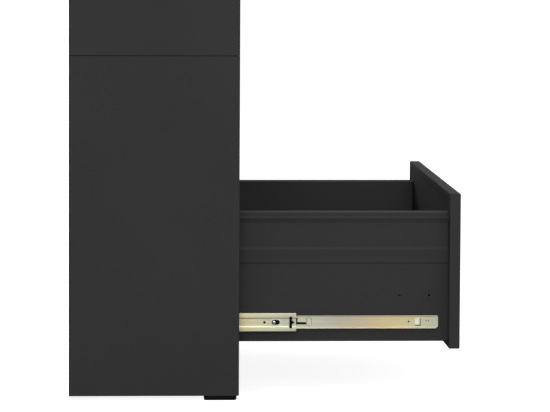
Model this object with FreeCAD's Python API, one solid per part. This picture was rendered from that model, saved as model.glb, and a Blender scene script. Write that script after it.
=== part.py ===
import FreeCAD, Part
import math
import os

from FreeCAD import Vector

os.makedirs("parts", exist_ok=True)

# A lateral filing cabinet of folded sheet steel with telescopic drawer slides.
# Millimetres. X is the width, the fronts face -Y and +Z is up.
# The origin lies on the floor, in the middle of the cabinet's footprint.

# Whole cabinet
width = 900.0
depth = 460.0
height = 1340.0
drawer_count = 4
open_drawer = 1

# Cabinet body
body_sheet = 1.0
body_bend = 3.0
foot_height = 9.0
stile_width = 22.0
stile_return = 12.0
rear_flange = 20.0
seam_height = 667.0
seam_gap = 1.0
seam_flange = 12.0
base_flange = 45.0
plinth_top = 94.8
floor_drop = 0.8
top_skirt = 23.2
foot_length = 62.7
foot_width = 38.0
foot_setback = 4.4
foot_round = 3.5
foot_corner = 4.0
ballast_size = (600.0, 60.0, 30.0)
ballast_gap = 20.0

# Uprights that carry the slides, and cross rails between the drawers
upright_width = 36.0
front_upright_setback = 44.0
rear_upright_setback = 34.0
rail_height = 28.0
rail_drop = 7.8
rail_end_gap = 3.0
rail_running_gap = 1.4

# Drawer fronts
front_gap = 2.0
front_thickness = 20.6
front_sheet = 1.2
front_bend = 2.0
front_lip = 11.5
liner_sheet = 1.0
liner_play = 0.3

# Drawer box
box_sheet = 1.5
box_bend = 2.5
box_side_clearance = 49.0
box_length = 415.0
box_lift = 12.0
box_height = 252.5
tray_wall = 181.0
lap_bottom = 153.5
lap_height = 30.5
top_flange = 42.0
top_lip = 80.0
front_end_gap = 2.0
rear_end_gap = 10.0
bead_drop = 13.8
bead_height = 11.0
bead_proud = 4.0
bead_end_gap = 3.0
back_flange = 9.0

# Holes in the drawer sides: distance behind the front, height above the box floor, diameter
side_holes = ((37.7, 81.7, 2.6), (37.7, 90.1, 5.0), (37.7, 99.1, 2.2))
side_slot = (95.5, 90.1, 6.0, 2.6)

# Recessed handle
handle_length = 170.0
handle_height = 56.0
handle_depth = 14.5
handle_wall = 2.0
handle_rim = 5.0
handle_rim_proud = 1.8
handle_corner = 8.0
handle_drop = 70.0
handle_grip = 14.0

# Telescopic slide: three members, one above the other round the same centre line
slide_sheet = 1.2
slide_length = 400.0
slide_setback = 20.0
slide_lift = 38.4
slide_space = 12.7
outer_height = 45.5
outer_lip = 3.2
outer_tip_gap = 2.5
middle_height = 35.8
middle_web_gap = 1.5
middle_tip_gap = 0.9
middle_recess = 1.4
middle_web = 14.8
inner_height = 25.3
inner_flange = 5.8
drawer_travel = 431.0
middle_travel = 153.0
cage_sheet = 0.6
cage_clearance = 0.3
outer_cage_length = 150.0
outer_cage_setback = 110.0
inner_cage_length = 90.0
inner_cage_setback = 155.0

# Features along the slides, as distances behind a member's front end
middle_hole = (61.6, 4.0)
middle_oval = (39.7, 15.6, 9.6)
middle_stop_slot = (10.4, 4.0, 20.0)
inner_hole = (57.5, 4.0)
inner_marks = (20.7, 2.4)
inner_tab = (41.0, 10.0, 13.0, 1.5)
inner_window = (250.0, 9.0, 15.0)
lever_reach = (257.4, 296.0)
lever_hub = (288.0, 6.0)
lever_bar = (276.0, 2.4, 12.0)
lever_bar_lift = 1.5
lever_arm_drop = 2.4
lever_arm_height = 3.0
lever_thickness = 1.5

# Lock in the top rail, and the locking bar behind the right-hand stile
lock_inset = 38.0
lock_drop = 14.0
lock_radius = 8.0
lock_rim_radius = 9.5
lock_rim = 1.5
lock_end_gap = 1.0
core_radius = 5.6
core_clearance = 0.4
core_proud = 0.5
keyway = (1.4, 7.0, 12.0)
cam_radius = 9.9
cam_width = 6.0
cam_thickness = 2.0
cam_pin_radius = 2.0
cam_start_deg = 45.0
bar_width = 14.0
bar_thickness = 2.0
bar_inset = 6.0
bar_travel = 14.0
bar_slot_clearance = 0.5
bar_tab = 13.0
bar_tab_gap = 2.0
bar_top_gap = 1.0
bar_bottom_gap = 6.0
bar_head_margin = 4.0
bar_head_lap = 2.5
catch_height = 25.0
catch_lift = 190.0
catch_sheet = 1.5
catch_reach = 10.5
catch_gap = 1.0

# Worked-out places
front_y = -depth / 2
rear_y = depth / 2
side_x = width / 2
front_height = (height - top_skirt - plinth_top - (drawer_count + 1) * front_gap) / drawer_count
pitch = front_height + front_gap
front_half = side_x - stile_width - front_gap
front_back_y = front_y + front_thickness
box_half = side_x - box_side_clearance
box_front_y = front_back_y - front_sheet
box_rear_y = front_back_y + box_length
upright_x = box_half + slide_space
floor_top = plinth_top - floor_drop
slide_front_y = front_back_y + slide_setback
middle_x = upright_x - slide_sheet - middle_web_gap
rail_front_y = front_back_y + rail_running_gap
upright_front_y = front_y + front_upright_setback
upright_rear_y = rear_y - rear_upright_setback - upright_width
seam_ends = (upright_front_y + upright_width + body_sheet, upright_rear_y - body_sheet)
bar_x = side_x - bar_inset - bar_width
bar_y = rail_front_y + body_sheet + bar_slot_clearance
lock_x = side_x - lock_inset
lock_z = height - lock_drop


def box(x0, x1, y0, y1, z0, z1):
    """A block between two corners."""
    return Part.makeBox(x1 - x0, y1 - y0, z1 - z0, Vector(x0, y0, z0))


def mirrored(shape):
    """The same piece for the other side of the cabinet."""
    return shape.mirror(Vector(0, 0, 0), Vector(1, 0, 0))


def both_sides(shape):
    """A left piece together with its right twin, as two solids."""
    return [shape, mirrored(shape)]


def save(name, solids):
    """Write one node."""
    shape = solids[0] if len(solids) == 1 else Part.makeCompound(solids)
    shape.exportStep("parts/" + name + ".step")


def unit(p, q):
    """Direction from p to q in a profile's plane."""
    length = math.hypot(q[0] - p[0], q[1] - p[1])
    return (q[0] - p[0]) / length, (q[1] - p[1]) / length


def turn_of(d, e):
    """Signed angle from direction d to direction e, left turns positive."""
    return math.atan2(d[0] * e[1] - d[1] * e[0], d[0] * e[0] + d[1] * e[1])


def rounded_path(points, radii):
    """Straight and arc pieces along points, each corner rounded by its own radius."""
    pieces = []
    last = points[0]
    for i in range(1, len(points) - 1):
        if radii[i - 1] <= 0:
            pieces.append((last, points[i]))
            last = points[i]
            continue
        d, e = unit(points[i - 1], points[i]), unit(points[i], points[i + 1])
        half = turn_of(d, e) / 2
        cut = radii[i - 1] * math.tan(abs(half))
        start = (points[i][0] - d[0] * cut, points[i][1] - d[1] * cut)
        end = (points[i][0] + e[0] * cut, points[i][1] + e[1] * cut)
        pieces.append((last, start))
        away = radii[i - 1] * (1 / math.cos(half) - 1)
        inward = (e[0] - d[0], e[1] - d[1])
        size = math.hypot(*inward)
        middle = (points[i][0] + inward[0] / size * away, points[i][1] + inward[1] / size * away)
        pieces.append((start, middle, end))
        last = end
    pieces.append((last, points[-1]))
    return pieces


def shifted_path(points, distance):
    """The same corners moved to the right of the path by distance."""
    moved = []
    for i, point in enumerate(points):
        d = unit(points[max(i - 1, 0)], points[max(i, 1)])
        e = unit(points[min(i, len(points) - 2)], points[min(i + 1, len(points) - 1)])
        n = (d[1] + e[1], -d[0] - e[0])
        scale = distance / (1 + d[0] * e[0] + d[1] * e[1])
        moved.append((point[0] + n[0] * scale, point[1] + n[1] * scale))
    return moved


def folded(points, axis, start, end, sheet, bend=0.0):
    """Sheet folded along points, its metal to the right of them, pulled along one axis.

    The points are the bare face's corners: (x, y) along z, (x, z) along y and (y, z) along x.
    The bend is the outer radius, or a list with one for each fold; 0 leaves a fold sharp.
    """
    bends = bend if isinstance(bend, list) else [bend] * (len(points) - 2)
    place = {
        "x": lambda p: Vector(start, p[0], p[1]),
        "y": lambda p: Vector(p[0], start, p[1]),
        "z": lambda p: Vector(p[0], p[1], start),
    }[axis]
    way = {"x": Vector(1, 0, 0), "y": Vector(0, 1, 0), "z": Vector(0, 0, 1)}[axis]
    face_radii, inner_radii = [], []
    for i, radius in enumerate(bends, 1):
        right = turn_of(unit(points[i - 1], points[i]), unit(points[i], points[i + 1])) < 0
        face_radii.append(radius if right else radius - sheet)
        inner_radii.append(radius - sheet if right else radius)
    back = shifted_path(points, sheet)
    pieces = rounded_path(points, face_radii)
    pieces.append((points[-1], back[-1]))
    pieces += rounded_path(back[::-1], inner_radii[::-1])
    pieces.append((back[0], points[0]))
    edges = []
    for piece in pieces:
        corners = [place(p) for p in piece]
        curve = Part.Arc if len(corners) == 3 else Part.LineSegment
        edges.append(curve(*corners).toShape())
    return Part.Face(Part.Wire(edges)).extrude(way * (end - start))


def rounded_block(x0, x1, y0, y1, z0, z1, radius, directions):
    """A block whose edges along the given axes are rounded."""
    block = box(x0, x1, y0, y1, z0, z1)
    picked = []
    for edge in block.Edges:
        run = edge.Vertexes[1].Point - edge.Vertexes[0].Point
        along = max(range(3), key=lambda i: abs(run[i]))
        if "xyz"[along] in directions:
            picked.append(edge)
    return block.makeFillet(radius, picked)


def front_bottom(n):
    """Height of drawer n's front, counted from the lowest drawer."""
    return plinth_top + front_gap + (n - 1) * pitch


def box_floor(n):
    """Height of drawer n's box above the floor."""
    return front_bottom(n) + box_lift


def slide_axis(n):
    """Height of drawer n's slides."""
    return box_floor(n) + slide_lift


# Cabinet body


def side_panel(bottom, top, lower_flange, lower_ends):
    """Left side skin with its front stile and rear flange, and a flange above and below."""
    outline = [
        (-side_x + stile_width, front_y + stile_return),
        (-side_x + stile_width, front_y),
        (-side_x, front_y),
        (-side_x, rear_y),
        (-side_x + rear_flange, rear_y),
    ]
    skin = folded(outline, "z", bottom, top, body_sheet, body_bend)
    inside = -side_x + body_sheet / 2
    low = box(inside, -side_x + lower_flange, *lower_ends, bottom, bottom + body_sheet)
    high = box(inside, -side_x + seam_flange, *seam_ends, top - body_sheet, top)
    return skin.fuse([low, high]).removeSplitter()


def make_side_panels():
    """Each side is a lower and an upper panel that meet at a seam."""
    base_ends = (front_y + body_bend, rear_y - body_bend)
    lower = side_panel(foot_height, seam_height - seam_gap / 2, base_flange, base_ends)
    upper = side_panel(seam_height + seam_gap / 2, height - top_skirt, seam_flange, seam_ends)
    save("side_lower_left", [lower])
    save("side_lower_right", [mirrored(lower)])
    save("side_upper_left", [upper])
    save("side_upper_right", [mirrored(upper)])


def back_panel(bottom, top):
    """Back sheet with a flange along its lower and upper edges, screwed inside the side flanges."""
    face = rear_y - body_sheet
    outline = [
        (face - seam_flange, top),
        (face, top),
        (face, bottom),
        (face - seam_flange, bottom),
    ]
    half = side_x - body_bend
    return folded(outline, "x", -half, half, body_sheet)


def make_back_panels():
    """The back is split at the same seam as the sides."""
    save("back_lower", [back_panel(foot_height + body_sheet, seam_height - seam_gap / 2)])
    save("back_upper", [back_panel(seam_height + seam_gap / 2, height - top_skirt)])


def make_top():
    """Folded lid with rounded edges that sits on the sides and carries the lock."""
    bottom = height - top_skirt
    t = body_sheet
    lid = box(-side_x, side_x, front_y, rear_y, bottom, height)
    lid = lid.makeFillet(body_bend, [e for e in lid.Edges if e.BoundBox.ZLength > top_skirt / 2])
    lid = lid.makeChamfer(body_bend / 2, [e for e in lid.Edges if e.BoundBox.ZMin > height - t / 2])
    inner = box(-side_x + t, side_x - t, front_y + t, rear_y - t, bottom - t, height - t)
    hole = Part.makeCylinder(lock_radius, 4 * t, Vector(lock_x, front_y - t, lock_z), Vector(0, 1, 0))
    save("top_panel", [lid.cut([inner, hole])])


def make_base():
    """Plinth, floor sheet with a strip welded under its front and back, ballast and feet."""
    half = front_half + front_gap - liner_play
    low = foot_height + body_sheet
    outline = [
        (front_y + stile_return, low),
        (front_y, low),
        (front_y, plinth_top),
        (front_y + stile_return, plinth_top),
    ]
    save("plinth", [folded(outline, "x", -half, half, body_sheet)])
    back = rear_y - 2 * body_sheet
    front = front_y + stile_return + body_sheet
    half = side_x - body_bend
    under = floor_top - body_sheet
    sheet = box(-half, half, front, back, under, floor_top)
    front_strip = box(-half, half, front, front + body_sheet, floor_top - stile_width, under)
    rear_strip = box(-half, half, back - body_sheet, back, low + 2 * body_sheet, under)
    save("floor_panel", [sheet, front_strip, rear_strip])
    length, breadth, thick = ballast_size
    top = floor_top - body_sheet
    end = back - ballast_gap
    save("ballast", [box(-length / 2, length / 2, end - breadth, end, top - thick, top)])
    x0 = -side_x + body_sheet + body_bend
    y0 = front_y + foot_setback
    foot = box(x0, x0 + foot_width, y0, y0 + foot_length, 0, foot_height)
    corners = [e for e in foot.Edges if e.BoundBox.ZLength > foot_height / 2]
    foot = foot.makeChamfer(foot_corner, corners)
    toe = [e for e in foot.Edges if e.BoundBox.ZMax < 0.01 and e.BoundBox.YMax < y0 + 0.01]
    foot = foot.makeFillet(foot_round, toe)
    rear = foot.mirror(Vector(0, 0, 0), Vector(0, 1, 0))
    save("feet", both_sides(foot) + both_sides(rear))


def upright(front):
    """Channel behind the left side, its web towards the slides."""
    outline = [
        (-side_x + body_sheet, front + upright_width),
        (-upright_x, front + upright_width),
        (-upright_x, front),
        (-side_x + body_sheet, front),
    ]
    return folded(outline, "z", floor_top, height - top_skirt - body_sheet, body_sheet)


def make_uprights():
    """Two channels on each side."""
    fore = upright(upright_front_y)
    aft = upright(upright_rear_y)
    save("uprights", both_sides(fore) + both_sides(aft))


def make_cross_rails():
    """A channel above each drawer but the top one, slotted for the locking bar."""
    half = side_x - body_sheet - rail_end_gap
    play = bar_slot_clearance
    rails = []
    for n in range(1, drawer_count):
        top = front_bottom(n + 1) + box_lift - rail_drop
        outline = [
            (upright_front_y, top - rail_height),
            (rail_front_y, top - rail_height),
            (rail_front_y, top),
            (upright_front_y, top),
        ]
        rail = folded(outline, "x", -half, half, body_sheet)
        slot = box(
            bar_x - play, bar_x + bar_width + play, bar_y - play, bar_y + bar_thickness + play,
            top - rail_height - 1, top + 1,
        )
        rails.append(rail.cut(slot))
    save("cross_rails", rails)


# Telescopic slides, modelled on the left side and mirrored to the right


def outer_rail(z):
    """Cabinet member: a channel with inturned lips, open towards the drawer."""
    tip = -box_half - outer_tip_gap
    low, high = z - outer_height / 2, z + outer_height / 2
    outline = [
        (tip, low + outer_lip),
        (tip, low),
        (-upright_x, low),
        (-upright_x, high),
        (tip, high),
        (tip, high - outer_lip),
    ]
    return folded(outline, "y", slide_front_y, slide_front_y + slide_length, slide_sheet)


def punched_hole(x0, x1, y, z, size):
    """A small hole across a sheet, with six flat sides."""
    turns = [math.radians(60 * i) for i in range(7)]
    corners = [Vector(x0, y + size / 2 * math.cos(a), z + size / 2 * math.sin(a)) for a in turns]
    return Part.Face(Part.makePolygon(corners)).extrude(Vector(x1 - x0, 0, 0))


def slotted_hole(x0, x1, y, z, length, tall):
    """A hole across a slide's web with round ends, longest along Y."""
    radius = tall / 2
    reach = (length - tall) / 2
    hole = box(x0, x1, y - reach, y + reach, z - radius, z + radius)
    across = Vector(1, 0, 0)
    ends = [Part.makeCylinder(radius, x1 - x0, Vector(x0, y + way * reach, z), across) for way in (-1, 1)]
    return hole.fuse(ends).removeSplitter()


def middle_rail(z):
    """Middle member: its web is pressed in between two raised shoulders."""
    tip = -box_half - middle_tip_gap
    web = middle_web / 2
    step = middle_recess
    half = middle_height / 2
    outline = [
        (tip, z - half),
        (-middle_x, z - half),
        (-middle_x, z - web - step),
        (-middle_x + step, z - web),
        (-middle_x + step, z + web),
        (-middle_x, z + web + step),
        (-middle_x, z + half),
        (tip, z + half),
    ]
    front = slide_front_y
    rail = folded(outline, "y", front, front + slide_length, slide_sheet)
    x0, x1 = -middle_x - 1, -middle_x + 5
    hole = punched_hole(x0, x1, front + middle_hole[0], z, middle_hole[1])
    oval = slotted_hole(x0, x1, front + middle_oval[0], z, middle_oval[1], middle_oval[2])
    back, wide, tall = middle_stop_slot
    stop = box(x0, x1, front + back - wide / 2, front + back + wide / 2, z - tall / 2, z + tall / 2)
    return rail.cut([hole, oval, stop])


def inner_rail(z):
    """Drawer member: a channel screwed to the box and open towards the cabinet."""
    half = inner_height / 2
    tip = -box_half - inner_flange
    outline = [(tip, z + half), (-box_half, z + half), (-box_half, z - half), (tip, z - half)]
    front = slide_front_y
    rail = folded(outline, "y", front, front + slide_length, slide_sheet)
    x0, x1 = -box_half - slide_sheet - 1, -box_half + 1
    cuts = [punched_hole(x0, x1, front + inner_hole[0], z, inner_hole[1])]
    back, size = inner_marks
    for shift in (-size, size):
        middle = front + back + shift
        cuts.append(box(x0, x1, middle - size / 3, middle + size / 3, z, z + size))
    back, wide, tall = inner_window
    middle = front + back
    cuts.append(box(x0, x1, middle - wide / 2, middle + wide / 2, z - tall / 2, z + tall / 2))
    rail = rail.cut(cuts)
    back, wide, tall, proud = inner_tab
    middle = front + back
    tab = box(-box_half - slide_sheet - proud, -box_half - slide_sheet / 2,
              middle - wide / 2, middle + wide / 2, z - tall / 2, z + tall / 2)
    return rail.fuse(tab)


def release_lever(z):
    """Lever in the drawer member that lets the drawer off its slides."""
    x1 = -box_half - slide_sheet
    x0 = x1 - lever_thickness
    front = slide_front_y
    middle = z - lever_arm_drop
    arm = box(x0, x1, front + lever_reach[0], front + lever_reach[1],
              middle - lever_arm_height / 2, middle + lever_arm_height / 2)
    hub = punched_hole(x0, x1, front + lever_hub[0], z, 2 * lever_hub[1])
    back, wide, tall = lever_bar
    low = z + lever_bar_lift - tall / 2
    bar = box(x0, x1, front + back - wide / 2, front + back + wide / 2, low, low + tall)
    return arm.fuse([hub, bar]).removeSplitter()


def ball_cage(z, web_x, tip_x, inside, outside, start, length):
    """Retainer between two members: a thin web and, above and below, the bar that holds a row of balls."""
    arm = outside + cage_clearance
    reach = inside - cage_clearance
    web = box(web_x, web_x + cage_sheet, start, start + length, z - arm, z + arm)
    rows = []
    for low, high in ((arm, reach), (-reach, -arm)):
        rows.append(box(web_x, tip_x, start, start + length, z + low, z + high))
    return web.fuse(rows).removeSplitter()


def outer_cage(z):
    """Balls between the cabinet member and the middle member."""
    tip = -box_half - outer_tip_gap - slide_sheet - cage_clearance
    web = -middle_x - (middle_web_gap + cage_sheet) / 2
    inside = outer_height / 2 - slide_sheet
    start = slide_front_y + outer_cage_setback
    return ball_cage(z, web, tip, inside, middle_height / 2, start, outer_cage_length)


def inner_cage(z):
    """Balls between the middle member and the drawer member."""
    tip = -box_half - middle_tip_gap - cage_clearance
    web = -middle_x + middle_recess + slide_sheet + cage_clearance
    inside = middle_height / 2 - slide_sheet
    start = slide_front_y + inner_cage_setback
    return ball_cage(z, web, tip, inside, inner_height / 2, start, inner_cage_length)


# Drawers


def drawer_front(n):
    """Outer shell of a front: a deep pan whose edges turn in as lips behind."""
    low, high = front_bottom(n), front_bottom(n) + front_height
    t = front_sheet
    block = box(-front_half, front_half, front_y, front_back_y, low, high)
    block = block.makeFillet(front_bend, [e for e in block.Edges if e.BoundBox.YMax < front_y + 0.01])
    hollow = box(-front_half + t, front_half - t, front_y + t, front_back_y - t, low + t, high - t)
    lip = front_lip
    wide = front_half - lip
    mouth = box(-wide, wide, front_back_y - 2 * t, front_back_y + 1, low + lip, high - lip)
    centre = high - handle_drop
    half = handle_length / 2 - handle_rim
    tall = handle_height / 2 - handle_rim
    opening = box(-half, half, front_y - 1, front_y + 2 * t, centre - tall, centre + tall)
    return block.cut([hollow, mouth, opening])


def drawer_liner(n):
    """Inner sheet of a front, held behind the lips, with the catch for the locking bar."""
    low, high = front_bottom(n), front_bottom(n) + front_height
    half = front_half - front_sheet - liner_play
    y1 = front_back_y - front_sheet
    edge = front_sheet + liner_play
    sheet = box(-half, half, y1 - liner_sheet, y1, low + edge, high - edge)
    x0 = front_half - front_lip - catch_sheet - liner_play
    z0 = box_floor(n) + catch_lift
    hook_y = bar_y + bar_thickness + catch_gap
    outline = [
        (x0, y1 - liner_sheet / 2),
        (x0, hook_y + catch_sheet),
        (x0 + catch_reach + catch_sheet, hook_y + catch_sheet),
    ]
    catch = folded(outline, "z", z0, z0 + catch_height, catch_sheet)
    return sheet.fuse(catch)


def drawer_handle(n):
    """Cup let into the front, with a rim outside and a lip along its top to pull on."""
    centre = front_bottom(n) + front_height - handle_drop
    half, tall = handle_length / 2, handle_height / 2
    rim = rounded_block(-half, half, front_y - handle_rim_proud, front_y, centre - tall, centre + tall,
                        handle_corner, "y")
    half -= handle_rim + liner_play
    tall -= handle_rim + liner_play
    w = handle_wall
    cup = box(-half, half, front_y - w / 4, front_y + handle_depth, centre - tall, centre + tall)
    half -= w
    tall -= w
    deep = front_y + handle_depth - w
    hollow = box(-half, half, front_y + w / 2, deep, centre - tall, centre + tall)
    mouth = rounded_block(-half, half, front_y - 2 * w, front_y + w, centre - tall, centre + tall - handle_grip,
                          handle_corner / 2, "y")
    return rim.fuse(cup).cut([hollow, mouth])


def drawer_tray(n):
    """Box with welded front and back walls; the slide holes are punched in its sides."""
    floor = box_floor(n)
    top = floor + tray_wall
    t = box_sheet
    outline = [(box_half, top), (box_half, floor), (-box_half, floor), (-box_half, top)]
    tray = folded(outline, "y", box_front_y, box_rear_y, t, box_bend)
    inner = box_half - t / 2
    front_wall = box(-inner, inner, box_front_y, box_front_y + t, floor + t / 2, top)
    rim = floor + box_height
    outline = [(box_rear_y - back_flange, rim), (box_rear_y, rim), (box_rear_y, floor + t / 2)]
    back = folded(outline, "x", -inner, inner, t)
    tray = tray.fuse([front_wall, back]).removeSplitter()
    cuts = []
    for side in (-1, 1):
        x0 = side * box_half - 2 * t
        for behind, above, size in side_holes:
            cuts.append(punched_hole(x0, x0 + 4 * t, front_back_y + behind, floor + above, size))
        behind, above, long, tall = side_slot
        y, z = front_back_y + behind, floor + above
        cuts.append(box(x0, x0 + 4 * t, y - long / 2, y + long / 2, z - tall / 2, z + tall / 2))
    return tray.cut(cuts)


def side_extension(n):
    """Upper wall on the left: laps over the tray, steps in, has a pressed bead and a wide top flange."""
    floor = box_floor(n)
    t = box_sheet
    low = floor + lap_bottom
    step = low + lap_height
    rim = floor + box_height
    outline = [
        (-box_half - t, low),
        (-box_half - t, step),
        (-box_half, step + t),
        (-box_half, rim),
        (-box_half + top_flange, rim),
        (-box_half + top_flange, rim - top_lip),
    ]
    y0, y1 = front_back_y + front_end_gap, box_rear_y - rear_end_gap
    wall = folded(outline, "y", y0, y1, t, [0, 0, box_bend, box_bend])
    z = rim - bead_drop
    radius = (bead_height ** 2 / 4 + bead_proud ** 2) / (2 * bead_proud)
    axis = -box_half - bead_proud + radius
    y0 += bead_end_gap
    y1 -= bead_end_gap
    crest, root = axis - radius, -box_half + t / 2
    slope = bead_proud
    outline = [(root, y0), (root, y1), (-box_half, y1), (crest, y1 - slope)]
    outline += [(crest, y0 + slope), (-box_half, y0)]
    outline = [Vector(x, y, z - radius) for x, y in outline + outline[:1]]
    ends = Part.Face(Part.makePolygon(outline)).extrude(Vector(0, 0, 2 * radius))
    bead = Part.makeCylinder(radius, y1 - y0, Vector(axis, y0, z), Vector(0, 1, 0)).common(ends)
    groove = box(-box_half - bead_proud + t, -box_half + 2 * t, y0 + slope, y1 - slope,
                 z - bead_height / 4, z + bead_height / 4)
    return wall.fuse(bead).cut(groove)


def make_drawer(n):
    """All the pieces of drawer n, with the open one and its slides pulled out."""
    z = slide_axis(n)
    out = 1.0 if n == open_drawer else 0.0
    drawer_shift = Vector(0, -drawer_travel * out, 0)
    middle_shift = Vector(0, -middle_travel * out, 0)
    outer_cage_shift = middle_shift / 2
    inner_cage_shift = (middle_shift + drawer_shift) / 2
    name = "drawer_" + str(n)
    pieces = {
        "_front": ([drawer_front(n)], drawer_shift),
        "_liner": ([drawer_liner(n)], drawer_shift),
        "_handle": ([drawer_handle(n)], drawer_shift),
        "_tray": ([drawer_tray(n)], drawer_shift),
        "_side_extensions": (both_sides(side_extension(n)), drawer_shift),
        "_inner_rails": (both_sides(inner_rail(z)), drawer_shift),
        "_release_levers": (both_sides(release_lever(z)), drawer_shift),
        "_middle_rails": (both_sides(middle_rail(z)), middle_shift),
        "_outer_cages": (both_sides(outer_cage(z)), outer_cage_shift),
        "_inner_cages": (both_sides(inner_cage(z)), inner_cage_shift),
    }
    for ending, (solids, shift) in pieces.items():
        for solid in solids:
            solid.translate(shift)
        save(name + ending, solids)


# Lock


def make_lock():
    """Cylinder lock in the lid, its turning core with the cam, and the bar that the cam moves."""
    along = Vector(0, 1, 0)
    centre = Vector(lock_x, 0, lock_z)
    body_end = front_back_y - lock_end_gap
    body = Part.makeCylinder(lock_radius, body_end - front_y, centre + along * front_y, along)
    rim = Part.makeCylinder(lock_rim_radius, lock_rim, centre + along * (front_y - lock_rim), along)
    bore = Part.makeCylinder(core_radius + core_clearance, depth, centre - along * depth * 0.9, along)
    save("lock_body", [body.fuse(rim).cut(bore)])

    face_y = front_y - lock_rim - core_proud
    cam_y = body_end + core_clearance
    core = Part.makeCylinder(core_radius, cam_y - face_y, centre + along * face_y, along)
    wide, tall, deep = keyway
    left, low = lock_x - wide / 2, lock_z - tall / 2
    key = box(left, left + wide, face_y - 1, face_y + deep, low, low + tall)
    arm = box(-cam_width / 2, cam_radius, 0, cam_thickness, -cam_width / 2, cam_width / 2)
    arm = arm.fuse(Part.makeCylinder(cam_width / 2, cam_thickness, Vector(cam_radius, 0, 0), along))
    pin_end = bar_y + bar_thickness - cam_y
    arm = arm.fuse(Part.makeCylinder(cam_pin_radius, pin_end, Vector(cam_radius, 0, 0), along))
    arm.rotate(Vector(0, 0, 0), along, -cam_start_deg)
    arm.translate(centre + along * cam_y)
    save("lock_core", [core.cut(key).fuse(arm)])

    start = math.radians(cam_start_deg)
    pin_x = lock_x + cam_radius * math.cos(start)
    pin_z = lock_z + cam_radius * math.sin(start)
    top = height - body_sheet - bar_top_gap
    y0, y1 = bar_y, bar_y + bar_thickness
    bar = box(bar_x, bar_x + bar_width, y0, y1, floor_top + bar_travel + bar_bottom_gap, top)
    head_low = pin_z - cam_pin_radius - bar_head_margin
    head_x = pin_x - cam_pin_radius - bar_head_lap
    bar = bar.fuse(box(head_x, bar_x + 1, y0, y1, head_low, top))
    play = bar_slot_clearance
    slot_tall = cam_pin_radius + play
    slot = box(head_x - 1, lock_x + cam_radius + cam_pin_radius + play, y0 - 1, y1 + 1,
               pin_z - slot_tall, pin_z + slot_tall)
    bar = bar.cut(slot)
    for n in range(1, drawer_count + 1):
        low = box_floor(n) + catch_lift + catch_height + bar_tab_gap
        bar = bar.fuse(box(bar_x - bar_tab, bar_x + 1, y0, y1, low, low + bar_tab))
    save("lock_bar", [bar.removeSplitter()])


make_side_panels()
make_back_panels()
make_top()
make_base()
make_uprights()
make_cross_rails()
axes = [slide_axis(n) for n in range(1, drawer_count + 1)]
save("outer_rails", [rail for axis in axes for rail in both_sides(outer_rail(axis))])
for number in range(1, drawer_count + 1):
    make_drawer(number)
make_lock()
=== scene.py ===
# %% [markdown]
# # A filing cabinet of folded steel, with one drawer pulled out on its slides
#
# The imported model gives every part its place. This script dresses it: each folded sheet gets soft
# edges, the slides get their rounded folds, balls, rivets and stops, and every surface gets a finish.
# The first cell loads the model, which stays fixed.

# %% Load the imported cabinet
import math

import bmesh
import bpy
from mathutils import Matrix, Vector


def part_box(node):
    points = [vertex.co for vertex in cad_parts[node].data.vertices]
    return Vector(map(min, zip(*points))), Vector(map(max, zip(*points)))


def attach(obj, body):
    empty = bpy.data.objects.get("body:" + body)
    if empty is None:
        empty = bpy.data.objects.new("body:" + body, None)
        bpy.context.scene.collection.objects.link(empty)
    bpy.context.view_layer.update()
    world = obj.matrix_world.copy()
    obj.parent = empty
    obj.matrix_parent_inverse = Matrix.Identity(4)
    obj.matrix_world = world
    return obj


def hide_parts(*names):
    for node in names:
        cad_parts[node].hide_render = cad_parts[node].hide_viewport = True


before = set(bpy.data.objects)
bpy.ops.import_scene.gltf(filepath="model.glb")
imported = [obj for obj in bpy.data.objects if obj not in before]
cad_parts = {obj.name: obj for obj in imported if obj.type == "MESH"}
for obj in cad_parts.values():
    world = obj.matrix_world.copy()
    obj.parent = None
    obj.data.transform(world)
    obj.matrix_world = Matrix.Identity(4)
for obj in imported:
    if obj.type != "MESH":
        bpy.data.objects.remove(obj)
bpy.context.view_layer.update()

MM = 0.001
DRAWERS = (1, 2, 3, 4)

# %% [markdown]
# ## The camera
#
# The photograph looks straight at the left side, from far away with a long lens, and a little from
# above. So the verticals stay almost upright, and the far end of the drawer front rises only a
# little over the near one. The picture also leans by a quarter of a degree. The place and the turns
# were found from edges with known places: the cabinet's front and bottom edges, the corners of the
# drawer front, the drawer's rims and the slide.

# %% Camera
PICTURE_WIDTH = 550
LENS_PIXELS = 3575.7
SENSOR = 36.0
EYE = Vector((-7.3087, 0.0794, 0.9764))
PAN = math.radians(3.1502)
TILT = math.radians(4.9789)
ROLL = math.radians(0.2744)

lens = bpy.data.cameras.new("photo_camera")
lens.sensor_width = SENSOR
lens.lens = LENS_PIXELS * SENSOR / PICTURE_WIDTH
lens.clip_start = 0.005
lens.clip_end = 400.0
camera = bpy.data.objects.new("photo_camera", lens)
sight = Vector((math.cos(TILT) * math.cos(PAN), -math.cos(TILT) * math.sin(PAN), -math.sin(TILT)))
turn = sight.to_track_quat("-Z", "Y").to_matrix().to_4x4() @ Matrix.Rotation(ROLL, 4, "Z")
camera.matrix_world = Matrix.Translation(EYE) @ turn
bpy.context.scene.collection.objects.link(camera)
bpy.context.scene.camera = camera
print("lens", round(lens.lens, 1), "mm")

# %% [markdown]
# ## Light and floor
#
# A product photograph of a dark cabinet is lit from all round, so that only soft shades are left:
# faces that look up are a little lighter, and the drawer's far wall is darker. A white world does
# half of the work here. A wide soft light beside the camera reaches over the near wall to the far
# one, and two weaker ones light the front and the other side. The wide one overhead draws the thin
# bright lines along the ridges and folds that look up. The floor is plain and nearly white, and so
# large that it fills the picture up to the horizon. Seen by the camera alone, the sky and the floor
# glow, which clears the background as the photograph has it.

# %% World, lights and floor
bpy.context.scene.view_settings.view_transform = "Standard"


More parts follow.
